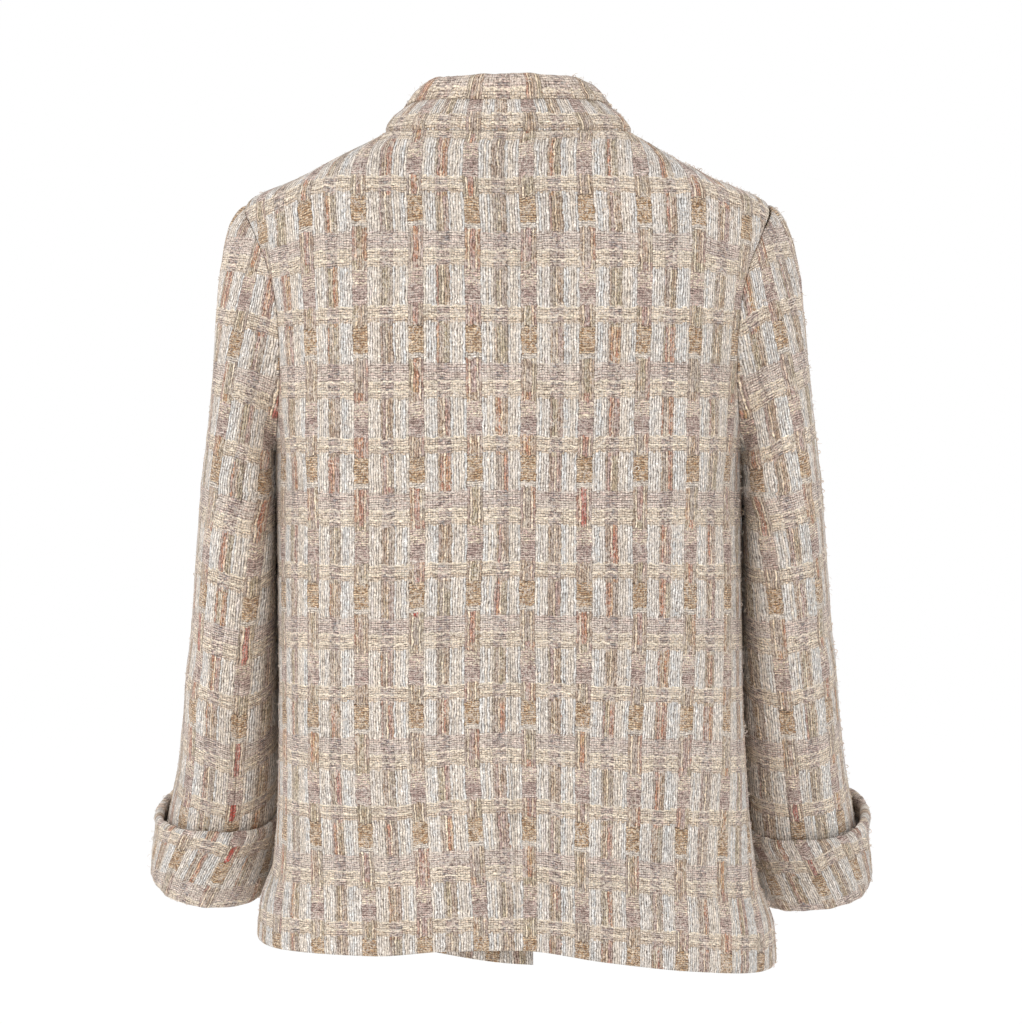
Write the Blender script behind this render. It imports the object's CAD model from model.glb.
"""Boucle tweed jacket: its panels, sleeves, cuffs and collar as woven cloth, with its loose fibres and loops.

Metres, +Z up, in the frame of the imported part. The jacket faces -Y and the wearer's left is +X.
"""

import math

import bmesh
import bpy
import numpy as np
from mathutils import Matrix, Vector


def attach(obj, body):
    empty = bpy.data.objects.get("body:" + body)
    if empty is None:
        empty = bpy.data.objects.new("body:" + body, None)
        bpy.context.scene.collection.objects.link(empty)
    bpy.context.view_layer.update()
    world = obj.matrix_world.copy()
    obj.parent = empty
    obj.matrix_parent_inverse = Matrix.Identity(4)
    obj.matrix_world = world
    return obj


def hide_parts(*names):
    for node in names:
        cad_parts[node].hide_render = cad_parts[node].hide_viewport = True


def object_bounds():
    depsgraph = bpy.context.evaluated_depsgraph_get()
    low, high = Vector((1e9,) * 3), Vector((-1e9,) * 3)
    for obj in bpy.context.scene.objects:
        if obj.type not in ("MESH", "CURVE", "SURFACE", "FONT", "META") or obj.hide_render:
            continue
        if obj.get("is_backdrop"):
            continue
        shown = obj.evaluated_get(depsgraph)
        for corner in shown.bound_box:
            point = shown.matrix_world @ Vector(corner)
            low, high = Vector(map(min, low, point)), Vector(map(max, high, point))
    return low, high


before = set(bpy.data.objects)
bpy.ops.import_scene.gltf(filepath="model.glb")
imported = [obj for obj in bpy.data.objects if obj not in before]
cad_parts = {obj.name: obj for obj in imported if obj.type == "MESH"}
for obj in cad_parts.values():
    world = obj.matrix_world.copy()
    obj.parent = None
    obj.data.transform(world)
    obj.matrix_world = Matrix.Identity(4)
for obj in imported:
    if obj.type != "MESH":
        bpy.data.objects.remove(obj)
cad_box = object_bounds()
MM = 0.001

# ---------------------------------------------------------------- sizes shared with the part's own solids
CLOTH = 3.0 * MM              # thickness of the bulky tweed
SEAM = 0.02 * MM              # the cloth closes the seams: its pieces all but touch
FRONT_GAP = 1.6 * MM          # gap between the two front edges

# ---- body, measured down from the neck ----
HEM = -602.0                  # hem at the left side, mm
SHOULDER_TIP = -54.0          # where the armhole meets the shoulder seam, mm
UNDERARM = -240.0             # lowest point of the armhole, mm
NECK_HALF_WIDTH = 92.0        # mm
FRONT_NECK_DROP = 72.0        # mm from the shoulder neck point down to the centre front
FRONT_EDGE_LEAN = 14.0        # mm that the front edges lean to the wearer's right at the hem
ARMHOLE_BACK = 58.0           # half depth of the armhole towards the back, mm
ARMHOLE_FRONT = 55.0          # and towards the front, mm
ARMHOLE_SQUARENESS = 2.5
BACK_NECK_DROP = 4.0          # mm from the shoulder neck point down to the centre back

# Horizontal rings of the body.
# height, half width, depth to the back, depth to the front, squareness, shift of the middle to +X (mm)
BODY_RINGS = (
    (0.0, 92.0, 60.0, 60.0, 2.3, 0.0),
    (-8.0, 104.5, 67.0, 66.0, 2.6, 0.5),
    (-20.0, 125.5, 76.0, 72.0, 3.0, 2.0),
    (-36.0, 155.0, 85.0, 78.0, 3.2, 2.0),
    (-54.0, 193.5, 92.0, 84.0, 3.0, 1.2),
    (-66.0, 198.5, 96.0, 88.0, 2.7, 0.6),
    (-80.0, 199.0, 100.0, 92.0, 2.5, 0.0),
    (-100.0, 195.0, 105.0, 97.0, 2.45, 0.0),
    (-125.0, 189.0, 110.0, 103.0, 2.45, 0.0),
    (-150.0, 184.5, 113.0, 109.0, 2.5, 0.0),
    (-195.0, 178.5, 116.0, 116.0, 2.6, 0.0),
    (-240.0, 174.5, 116.0, 119.0, 2.7, 0.0),
    (-320.0, 173.0, 112.0, 116.0, 2.7, -0.5),
    (-400.0, 173.0, 107.0, 111.0, 2.7, -1.5),
    (-480.0, 175.0, 106.0, 109.0, 2.7, -3.0),
    (-545.0, 181.0, 110.0, 111.0, 2.7, -5.0),
    (-578.0, 192.5, 114.0, 113.0, 2.7, -6.0),
    (-650.0, 196.0, 118.0, 116.0, 2.7, -6.0),
)

# How much lower than HEM the cloth hangs at the hem, by quarter turns from the centre back:
# 0 centre back, 1 side seam, 2 centre front, plus on the wearer's left and minus on the right.
# quarter turns, drop (mm)
HEM_DROP = (
    (-2.3, 20.0),
    (-1.6, 21.0),
    (-1.0, 17.0),
    (-0.75, 19.5),
    (-0.5, 15.0),
    (-0.25, 7.0),
    (0.0, -2.0),
    (0.2, -1.0),
    (0.4, 3.0),
    (0.7, 2.0),
    (1.0, -2.5),
    (1.5, 12.0),
    (2.0, 34.0),
    (2.3, 37.0),
)

# ---- sleeves ----
HEAD_SLOPE = 0.30             # fall of the sleeve head as it leaves the shoulder
HEAD_LEAVE = (-0.25, -0.08)   # way the head leaves the armhole, for 1 outwards: towards the front, down
HEAD_FIRST_PULL = (0.12, 0.10)        # pull on the head's curve at the armhole, and how much more at the underarm
HEAD_SECOND_PULL = (0.62, 0.25)       # pull at the first ring, and how much less at the underarm
HEAD_TUCK = 8.5               # mm that the head is held in half way down its outer edge
BACK_SEAM = 105.0             # degrees round the sleeve from its outer edge, by way of the back
FRONT_SEAM = 240.0
SLEEVE_SQUARENESS = 2.5
# height of the middle, middle to -Y, outer edge, inner edge (both from the centre), half depth, pitch
# (mm and degrees)
SLEEVE_RINGS = (
    (-262.0, 2.0, 229.5, 177.0, 61.0, 7.0),
    (-300.0, 6.0, 232.5, 176.5, 60.0, 9.0),
    (-360.0, 17.0, 237.7, 176.5, 58.0, 12.0),
    (-420.0, 33.0, 244.5, 177.0, 56.0, 15.0),
    (-475.0, 51.0, 251.2, 178.5, 54.0, 18.0),
    (-510.0, 64.0, 258.6, 181.0, 53.5, 19.5),
    (-545.0, 77.0, 265.0, 184.5, 54.0, 20.0),
    (-600.0, 97.0, 273.0, 189.0, 55.0, 20.0),
)
SLEEVE_END = -562.65          # height of the sleeve's lower edge at its middle, mm
SLEEVE_LEAN = {1: 3.5, -1: 6.0}       # degrees that the sleeve swings out, by side
# mm that the sleeve's end is drawn up at its outer edge, at its inner edge and at the back, by side
END_LIFT = {1: (5.0, 6.5, 2.0), -1: (-2.5, 0.0, 0.0)}
LIFT_FROM, LIFT_OVER = -470.0, 90.0   # height where that lift starts, and over how many mm it grows
RIGHT_STAND_OFF = 4.5         # mm that the right sleeve stands further out

# Section through a turned-back cuff.
# distance out from the sleeve's face, distance up from the fold (mm)
CUFF_SECTION = (
    (-2.9, 3.0),
    (-2.4, 0.8),
    (0.4, -0.4),
    (3.6, -0.4),
    (6.4, 1.2),
    (7.8, 6.0),
    (8.2, 18.0),
    (8.0, 36.0),
    (8.4, 46.0),
    (9.4, 51.0),
    (9.0, 55.5),
    (6.6, 58.4),
    (3.8, 57.6),
    (2.4, 53.5),
    (3.4, 49.0),
    (4.7, 42.0),
    (4.9, 24.0),
    (4.6, 9.0),
    (3.2, 4.4),
    (0.8, 3.0),
)
CUFF_FOLD = -566.0            # height of the cuff's fold at the sleeve's middle, mm
# How much higher the cuff's rim stands than in its section, by degrees round the arm from its outer edge by
# way of the back: first on the left sleeve, then on the right.
# degrees, left, right (mm)
CUFF_RIM = (
    (0.0, -11.0, -4.5),
    (90.0, 3.0, -3.0),
    (180.0, 0.0, -2.0),
    (270.0, -11.0, -10.0),
    (360.0, -11.0, -4.5),
)
# mm that the rim flares at the outer edge, by side
CUFF_FLARE = {1: 1.0, -1: 3.5}

# ---- collar ----
COLLAR_LEAN = 0.5            # mm that the top of the collar is off centre
STAND_BOW = 4.0               # mm that the stand bows out a third of the way up
STAND_SHORT = 4.5             # mm that the stand ends below the collar's top edge
END_SHORT = 0.993             # share of the way to the front edge that the collar reaches
STAND_CLOTH = 2.6             # thickness of the stand inside the fold, mm
# quarter turns from the centre back, half width share, depth, height of the top edge (mm)
COLLAR_TOP = (
    (0.0, 0.0, 49.0, 36.5),
    (0.5, 42.0, 37.0, 35.5),
    (1.0, 61.0, 0.0, 28.0),
    (1.5, 46.0, -50.0, -6.0),
    (2.0, 5.0, -76.0, -46.0),
)
# Section through the fall, which is folded over the stand's top edge.
# distance out from the stand's face, distance up from its top edge (mm)
FALL_SECTION = (
    (-2.8, -3.8),
    (-2.8, 0.4),
    (0.6, 2.6),
    (3.9, 1.6),
    (5.9, -2.4),
    (6.5, -10.0),
    (6.2, -18.4),
    (5.0, -19.8),
    (3.8, -18.4),
    (3.9, -10.0),
    (3.2, -4.4),
    (0.4, -3.8),
)


# ---- tables read as smooth curves ----
def curve(rows, column):
    """A smooth function through one column of a table, with no overshoot between its rows."""
    table = np.array(sorted(rows), dtype=float)
    xs, ys = table[:, 0], table[:, column]
    step = np.diff(xs)
    slope = np.diff(ys) / step
    tangent = np.concatenate(([slope[0]], np.zeros(len(xs) - 2), [slope[-1]]))
    for i in range(1, len(xs) - 1):
        if slope[i - 1] * slope[i] > 0:
            before, after = 2 * step[i] + step[i - 1], step[i] + 2 * step[i - 1]
            tangent[i] = (before + after) / (before / slope[i - 1] + after / slope[i])

    def read(x):
        x = np.clip(np.asarray(x, dtype=float), xs[0], xs[-1])
        i = np.clip(np.searchsorted(xs, x, side="right") - 1, 0, len(xs) - 2)
        u = (x - xs[i]) / step[i]
        return ((2 * u ** 3 - 3 * u ** 2 + 1) * ys[i] + (u ** 3 - 2 * u ** 2 + u) * step[i] * tangent[i]
                + (3 * u ** 2 - 2 * u ** 3) * ys[i + 1] + (u ** 3 - u ** 2) * step[i] * tangent[i + 1])

    return read


def rounded(angle, squareness):
    """Unit superellipse point at an angle: cosine and sine with squarer shoulders."""
    c, s = np.cos(angle), np.sin(angle)
    reach = (np.abs(c) ** squareness + np.abs(s) ** squareness) ** (-1.0 / squareness)
    return reach * c, reach * s


def unit(vectors):
    return vectors / np.linalg.norm(vectors, axis=-1, keepdims=True)


def smooth_step(x):
    x = np.clip(x, 0.0, 1.0)
    return x * x * (3 - 2 * x)


# ---- the body's form ----
LEVELS = np.arange(-650.0, 0.5, 1.0)
TURNS = np.linspace(0.0, 2.0, 241)


def body_form():
    """x and y of the body at every level (rows) and every fraction of a quarter turn (columns)."""
    width, back, front, square, shift = (curve(BODY_RINGS, k)(LEVELS)[:, None] for k in range(1, 6))
    fine = np.linspace(0.0, math.pi / 2, 161)[None, :]
    xs, ys = np.zeros((len(LEVELS), len(TURNS))), np.zeros((len(LEVELS), len(TURNS)))
    lengths = []
    for first, depth, sign in ((0.0, back, 1.0), (1.0, front, -1.0)):
        deep, wide = rounded(fine, square)
        x, y = wide * width, sign * deep * depth
        arc = np.concatenate((np.zeros((len(LEVELS), 1)),
                              np.cumsum(np.hypot(np.diff(x), np.diff(y)), axis=1)), axis=1)
        pick = (TURNS >= first) & (TURNS <= first + 1.0)
        share = TURNS[pick] if sign > 0 else 2.0 - TURNS[pick]
        for i in range(len(LEVELS)):
            xs[i, pick] = np.interp(share * arc[i, -1], arc[i], x[i])
            ys[i, pick] = np.interp(share * arc[i, -1], arc[i], y[i])
        lengths.append(arc[:, -1])
    return xs, ys, shift[:, 0], lengths[0], lengths[1]


FORM_X, FORM_Y, FORM_SHIFT, BACK_ARC, FRONT_ARC = body_form()
hem_drop = curve(HEM_DROP, 1)


def hang(height):
    """Share of the hem's drop that the cloth has at a height: none at the underarm, all at the hem."""
    return np.clip((UNDERARM - height) / (UNDERARM - HEM), 0.0, None) ** 1.8


def body(turn, height):
    """Outer face of the body at signed quarter turns from the centre back and a height in mm."""
    turn, height = np.broadcast_arrays(np.asarray(turn, float), np.asarray(height, float))
    past = np.abs(turn) > 2.0
    side = np.where(turn < 0, -1.0, 1.0) * np.where(past, -1.0, 1.0)
    share = np.where(past, 4.0 - np.abs(turn), np.abs(turn)) / 2.0 * (len(TURNS) - 1)
    level = np.clip(height - LEVELS[0], 0.0, len(LEVELS) - 1.0)
    i = np.minimum(level.astype(int), len(LEVELS) - 2)
    j = np.minimum(share.astype(int), len(TURNS) - 2)
    u, v = level - i, share - j

    def blend(grid):
        low = grid[i, j] * (1 - v) + grid[i, j + 1] * v
        high = grid[i + 1, j] * (1 - v) + grid[i + 1, j + 1] * v
        return low * (1 - u) + high * u

    x = side * blend(FORM_X) + FORM_SHIFT[i] * (1 - u) + FORM_SHIFT[i + 1] * u
    z = height - hem_drop(turn) * hang(height)
    return np.stack((x, blend(FORM_Y), z), axis=-1) * MM


def body_normal(turn, height):
    turn, height = np.broadcast_arrays(np.asarray(turn, float), np.asarray(height, float))
    low, high = height - 1.5, np.minimum(height + 1.5, 0.0)
    around = body(turn + 0.012, height) - body(turn - 0.012, height)
    up = body(turn, high) - body(turn, low)
    return unit(np.cross(up, around))


def ring_at(grid, height):
    """The row of a form grid at a height in mm."""
    level = min(max(height - LEVELS[0], 0.0), len(LEVELS) - 1.001)
    i = int(level)
    return grid[i] * (i + 1 - level) + grid[i + 1] * (level - i)


def turn_at_depth(height, depth):
    """Quarter turns from the centre back to where the ring at a height has the depth y, in mm."""
    return float(np.interp(-depth, -ring_at(FORM_Y, height), TURNS))


def turn_at_width(height, width):
    """Quarter turns to where the front half of the ring at a height has the half width x, in mm."""
    half = len(TURNS) // 2
    return float(np.interp(width, ring_at(FORM_X, height)[half:][::-1], TURNS[half:][::-1]))


def armhole_turn(angle, towards_back):
    """Quarter turns and height of the armhole edge; angle 0 is the shoulder tip and 180 the underarm."""
    middle, half = (SHOULDER_TIP + UNDERARM) / 2, (SHOULDER_TIP - UNDERARM) / 2
    up, away = rounded(angle, ARMHOLE_SQUARENESS)
    height = middle + half * up
    depth = away * (ARMHOLE_BACK if towards_back else -ARMHOLE_FRONT)
    return turn_at_depth(height, depth), height


def neck_sweep(across, towards_back):
    """Share of the neck drop, from all of it at the centre to none at the shoulder seam."""
    return np.clip(np.cos(np.asarray(across) * math.pi / 2), 0.0, 1.0) ** (2.0 if towards_back else 0.8)


def neck_curve(across):
    """Turn and height of the front neckline, from the centre front to the shoulder seam."""
    heights = -FRONT_NECK_DROP * neck_sweep(across, False)
    widths = NECK_HALF_WIDTH * np.sin(np.asarray(across) * math.pi / 2)
    return np.array([turn_at_width(h, w) for h, w in zip(heights, widths)]), heights


# ---- sleeves ----
SLEEVE = {name: curve(SLEEVE_RINGS, k)
          for k, name in enumerate(("forward", "outer", "inner", "half_depth", "pitch"), start=1)}


def arm_ring(side, height, angle):
    """Outer face of the sleeve below its head, at the height of the ring's middle, in mm."""
    outer, inner = SLEEVE["outer"](height), SLEEVE["inner"](height)
    stand_off = RIGHT_STAND_OFF if side < 0 else 0.0
    pitch, lean = np.radians(SLEEVE["pitch"](height)), math.radians(SLEEVE_LEAN[side])
    wide, deep = rounded(angle, SLEEVE_SQUARENESS)
    wide, deep = wide * (outer - inner) / 2, deep * SLEEVE["half_depth"](height)
    x = (outer + inner) / 2 + stand_off + wide * math.cos(lean)
    y = -SLEEVE["forward"](height) + deep * np.cos(pitch)
    lift_out, lift_in, lift_back = END_LIFT[side]
    c, s = np.cos(angle), np.sin(angle)
    lift = lift_out * np.maximum(c, 0) ** 2 + lift_in * np.maximum(-c, 0) ** 2 + lift_back * s ** 2
    z = height + wide * math.sin(lean) - deep * np.sin(pitch) + lift * smooth_step((LIFT_FROM - height) / LIFT_OVER)
    return np.stack((x, y, z), axis=-1)


def armhole_ring():
    """Points of the armhole's edge at every half degree round it, in mm."""
    steps = np.radians(np.arange(0.0, 360.5, 0.5))
    rows = [armhole_turn(math.acos(max(min(math.cos(a), 1.0), -1.0)), math.sin(a) >= 0) for a in steps]
    turns, heights = np.array(rows).T
    return steps, body(turns, heights) / MM


HOLE_STEPS, HOLE_POINTS = armhole_ring()


def sleeve_head(side, share, angle):
    """Outer face of the sleeve head, from the armhole (share 0) to the first ring of the arm (share 1)."""
    share, angle = np.broadcast_arrays(share, angle)
    height_share = 0.5 + 0.5 * np.cos(angle)
    leave = unit(np.stack((np.ones_like(angle), HEAD_LEAVE[0] * np.sin(angle),
                           HEAD_LEAVE[1] - HEAD_SLOPE * height_share ** 3), axis=-1))
    start = np.stack([np.interp(angle, HOLE_STEPS, HOLE_POINTS[:, k], period=2 * math.pi) for k in range(3)], axis=-1)
    start = start + leave * SEAM / MM
    top = SLEEVE_RINGS[0][0]
    end = arm_ring(side, top, angle)
    down = unit(arm_ring(side, top - 4.0, angle) - end)
    reach = np.linalg.norm(end - start, axis=-1)
    first = start + leave * (reach * (HEAD_FIRST_PULL[0] + HEAD_FIRST_PULL[1] * (1 - height_share)))[..., None]
    second = end - down * (reach * (HEAD_SECOND_PULL[0] - HEAD_SECOND_PULL[1] * (1 - height_share)))[..., None]
    second[..., 0] -= HEAD_TUCK * height_share ** 2
    s = share[..., None]
    return ((1 - s) ** 3 * start + 3 * (1 - s) ** 2 * s * first
            + 3 * (1 - s) * s ** 2 * second + s ** 3 * end)


def sleeve(side, along, angle):
    """Outer face of a sleeve: along runs 0 to 1 down the head, then 1 to 2 down to SLEEVE_END."""
    top = SLEEVE_RINGS[0][0]
    along, angle = np.broadcast_arrays(along, angle)
    head = sleeve_head(side, np.clip(along, 0.0, 1.0), angle)
    arm = arm_ring(side, top + (along - 1.0) * (SLEEVE_END - top), angle)
    return np.where((along < 1.0)[..., None], head, arm) * np.array((side, 1.0, 1.0)) * MM


# ---- collar ----
TOP = {name: curve(COLLAR_TOP, k) for k, name in enumerate(("width", "depth", "height"), start=1)}


def neckline(turn):
    """Edge of the body at the neck and the way its cloth faces, at signed quarter turns."""
    away, height = abs(turn), -BACK_NECK_DROP * neck_sweep(abs(turn), True)
    if away > 1.0:
        turns, heights = neck_curve(np.array([max(2.0 - away, 0.0)]))
        away, height = turns[0], heights[0]
    there = math.copysign(away, turn)
    return body(there, height) / MM, body_normal(there, height)


def collar_top(turn):
    away = abs(turn)
    height = float(TOP["height"](away))
    return np.array((math.copysign(float(TOP["width"](away)), turn) + COLLAR_LEAN * np.clip(height / 40.0, 0, 1),
                     float(TOP["depth"](away)), height))


def collar_frame(turn):
    """Base, the way the body faces there, top, and the directions up and out of the collar."""
    (base, face), top = neckline(turn), collar_top(turn)
    along = neckline(turn + 0.02)[0] - neckline(turn - 0.02)[0]
    ahead, behind = collar_top(turn + 0.05), collar_top(turn - 0.05)
    up = unit(top - base)
    out = unit(np.cross(up, ahead - behind))
    if np.dot(out, top - np.array((COLLAR_LEAN, -10.0, top[2]))) < 0:
        out = -out
    rise = unit(np.cross(along, face))
    return base + rise * math.copysign(1.2 * SEAM / MM, np.dot(rise, up)), face, top, up, out


# ---- the weave's chart ----
# The cloth is charted in repeats: U counts across the warps towards the wearer's left, V counts down the wefts.
# A repeat holds one accent column, a white group, a brown stripe and a second white group.
WARPS = 22.0                  # yarns across a repeat
WEFTS = 54.0                  # yarns down a repeat
ACCENT_MIDDLE = 0.1325        # where an accent column's middle lies in a repeat

# height at the centre back where each repeat's pink band starts (mm), number of the repeat
BAND_STARTS = (
    (110.0, -2.0),
    (15.4, -1.0),
    (-81.2, 0.0),
    (-176.4, 1.0),
    (-268.4, 2.0),
    (-358.5, 3.0),
    (-445.0, 4.0),
    (-529.5, 5.0),
    (-612.4, 6.0),
    (-700.0, 7.05),
)
# height, first accent from the centre back on the left and the repeat's width there, then on the right (mm)
BACK_ACCENTS = (
    (0.0, 25.0, 41.5, 15.5, 42.0),
    (-85.0, 25.0, 41.5, 15.5, 42.0),
    (-280.0, 24.1, 41.8, 14.0, 41.0),
    (-463.0, 28.3, 40.8, 12.8, 38.8),
    (-550.0, 26.3, 40.8, 11.0, 36.8),
    (-650.0, 23.0, 41.0, 10.2, 36.8),
)
SHOULDER_DROP = ((130.0, 0.0), (141.0, 1.0), (159.0, 7.5), (175.0, 12.8), (192.0, 18.8), (215.0, 26.0))
FRONT_ACCENT, FRONT_REPEAT = 19.0, 41.5       # first accent from the front edge and the repeat there, mm
OWN_YARNS = {"back_left": 0.0, "back_right": 60.0, "front_left": 120.0, "front_right": 180.0,
             "sleeve_upper_left": 240.0, "sleeve_upper_right": 300.0, "sleeve_under_left": 360.0,
             "sleeve_under_right": 420.0, "cuff_left": 480.0, "cuff_right": 540.0,
             "collar_stand": 600.0, "collar_fall": 660.0}
band_at = curve(BAND_STARTS, 1)
accent_at = [curve(BACK_ACCENTS, k) for k in range(1, 5)]
shoulder_drop = curve(SHOULDER_DROP, 1)


def soft_noise(x, y, seed, octaves=2):
    """Smooth noise from -1 to 1 over a plane, with cells one unit across."""
    total = np.zeros(np.broadcast(x, y).shape)
    for octave in range(octaves):
        rng = np.random.default_rng(seed + 31 * octave)
        table = rng.uniform(-1.0, 1.0, (64, 64))
        px, py = np.asarray(x) * 2 ** octave, np.asarray(y) * 2 ** octave
        i, j = np.floor(px).astype(int), np.floor(py).astype(int)
        u, v = smooth_step(px - i), smooth_step(py - j)
        total += ((table[i % 64, j % 64] * (1 - u) + table[(i + 1) % 64, j % 64] * u) * (1 - v)
                  + (table[i % 64, (j + 1) % 64] * (1 - u) + table[(i + 1) % 64, (j + 1) % 64] * u) * v
                  ) * 0.5 ** octave
    return total / 1.5


def block_relief(u, v):
    """Height of the cloth's blocks in mm: long floats stand proud, tight bands sink."""
    fu, fv = u - np.floor(u), v - np.floor(v)
    white = np.clip(np.abs(np.sin((fu - 0.265) * 2 * math.pi / 0.49)), 0, 1) * (fu > 0.265)
    floats = ((fv > 0.27) & (fv < 0.57)) | (fv > 0.70)
    accent = (fu < 0.265) * np.sin(np.clip(fu / 0.265, 0, 1) * math.pi)
    return 0.35 * white * floats + 0.45 * accent


# ---- thin shells of cloth ----
COARSE = 3                    # cells of the outer face to one of the inner
ROLL = 3.0                    # mm over which a free edge turns in
SEAM_GROOVE = (2.4, 0.5)      # width of a seam's half groove and its depth, mm
surfaces = []                 # outer faces that the loose fibres grow on


def edge_distance(grid):
    """Distance in mm from every point of a grid to its nearest side."""
    down = np.linalg.norm(np.diff(grid, axis=0), axis=2) / MM
    over = np.linalg.norm(np.diff(grid, axis=1), axis=2) / MM
    top = np.concatenate((np.zeros((1, grid.shape[1])), np.cumsum(down, axis=0)))
    left = np.concatenate((np.zeros((grid.shape[0], 1)), np.cumsum(over, axis=1)), axis=1)
    return top, top[-1:] - top, left, left[:, -1:] - left


def shell(name, outer, normal, chart, relief, thickness=CLOTH, free=(False, False, False, False)):
    """A thin shell of cloth from a fine outer grid; its inner face is coarser and its cut edges are rolled."""
    rows, cols = outer.shape[:2]
    top, bottom, left, right = edge_distance(outer)
    near = np.minimum(np.minimum(top, bottom), np.minimum(left, right))
    fade = smooth_step(near / 14.0)
    lift = relief * (0.3 + 0.7 * smooth_step(near / 5.0))
    for distance, loose in zip((top, bottom, left, right), free):
        turn_in = np.clip(1.0 - distance / (ROLL if loose else SEAM_GROOVE[0]), 0.0, 1.0)
        lift = lift - (1.25 if loose else SEAM_GROOVE[1]) * (1 - np.sqrt(1 - turn_in ** 2 * 0.98))
    turn_in = np.clip(1.0 - near / ROLL, 0.0, 1.0)
    outside = outer + normal * (lift * MM)[..., None]
    inside = (outer - normal * (thickness - 0.5 * MM * turn_in[..., None] ** 2)
              + normal * (relief * fade * 0.8 * MM)[..., None])
    inside = inside[::COARSE, ::COARSE]
    r, c = inside.shape[:2]
    points = np.concatenate((outside.reshape(-1, 3), inside.reshape(-1, 3)))
    charts = np.concatenate((chart.reshape(-1, 2), chart[::COARSE, ::COARSE].reshape(-1, 2)))
    i, j = np.meshgrid(np.arange(rows - 1), np.arange(cols - 1), indexing="ij")
    k = j + 1
    at = lambda a, b: a * cols + b
    fine = np.stack((at(i, j), at(i, k), at(i + 1, k), at(i + 1, j)), axis=-1).reshape(-1, 4)
    base = rows * cols
    i, j = np.meshgrid(np.arange(r - 1), np.arange(c - 1), indexing="ij")
    k = j + 1
    low = lambda a, b: base + a * c + b
    coarse = np.stack((low(i, j), low(i + 1, j), low(i + 1, k), low(i, k)), axis=-1).reshape(-1, 4)
    faces = [tuple(f) for f in fine.tolist()] + [tuple(f) for f in coarse.tolist()]
    for a in range(c - 1):
        b = a + 1
        run = [a * COARSE + s for s in range(COARSE + 1)]
        faces.append(tuple([at(0, s) for s in reversed(run)] + [low(0, a), low(0, b)]))
        faces.append(tuple([at(rows - 1, s) for s in run] + [low(r - 1, b), low(r - 1, a)]))
    for a in range(r - 1):
        run = [a * COARSE + s for s in range(COARSE + 1)]
        faces.append(tuple([at(s, 0) for s in run] + [low(a + 1, 0), low(a, 0)]))
        faces.append(tuple([at(s, cols - 1) for s in reversed(run)] + [low(a, c - 1), low(a + 1, c - 1)]))
    item = cloth_object(name, points, faces, charts)
    surfaces.append(outside[::COARSE, ::COARSE])
    return item


def right_side_out(mesh):
    """Flips a closed mesh whose faces point inwards, and says whether it had to."""
    mesh.calc_loop_triangles()
    corners = np.empty(len(mesh.loop_triangles) * 3, dtype=np.int32)
    mesh.loop_triangles.foreach_get("vertices", corners)
    spots = np.empty(len(mesh.vertices) * 3)
    mesh.vertices.foreach_get("co", spots)
    spots = spots.reshape(-1, 3) - spots.reshape(-1, 3).mean(axis=0)
    a, b, c = spots[corners.reshape(-1, 3)].transpose(1, 0, 2)
    turned = np.einsum("ij,ij->i", a, np.cross(b, c)).sum() < 0
    if turned:
        mesh.flip_normals()
    return turned


def cloth_object(name, points, faces, charts):
    """Makes the mesh with its chart as a UV map, and turns it right side out."""
    mesh = bpy.data.meshes.new(name + "_cloth")
    mesh.from_pydata(points.tolist(), [], faces)
    corner = np.empty(len(mesh.loops), dtype=np.int32)
    mesh.loops.foreach_get("vertex_index", corner)
    layer = mesh.uv_layers.new(name="chart")
    layer.data.foreach_set("uv", charts[corner].astype(np.float32).ravel())
    right_side_out(mesh)
    mesh.shade_smooth()
    item = bpy.data.objects.new(name + "_cloth", mesh)
    bpy.context.scene.collection.objects.link(item)
    return item


# ---- body panels ----
FINE = 2.1                    # mm, size of the outer face's cells


def fine_count(length):
    return COARSE * max(2, int(round(length / FINE / COARSE)))


def panel_edge(towards_back):
    """Turn and height of a panel's outer edge in fine steps, with the row where its shoulder seam starts."""
    side_rows, hole_rows = fine_count(UNDERARM - HEM), fine_count(240.0)
    shoulder_rows = fine_count(112.0)
    side = [(1.0, h) for h in np.linspace(HEM, UNDERARM, side_rows + 1)[:-1]]
    hole = [armhole_turn(a, towards_back) for a in np.linspace(math.pi, 0.0, hole_rows + 1)]
    shoulder = [(1.0, h) for h in np.linspace(SHOULDER_TIP, 0.0, shoulder_rows + 1)[1:]]
    return np.array(side + hole + shoulder), side_rows, side_rows + hole_rows


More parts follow.
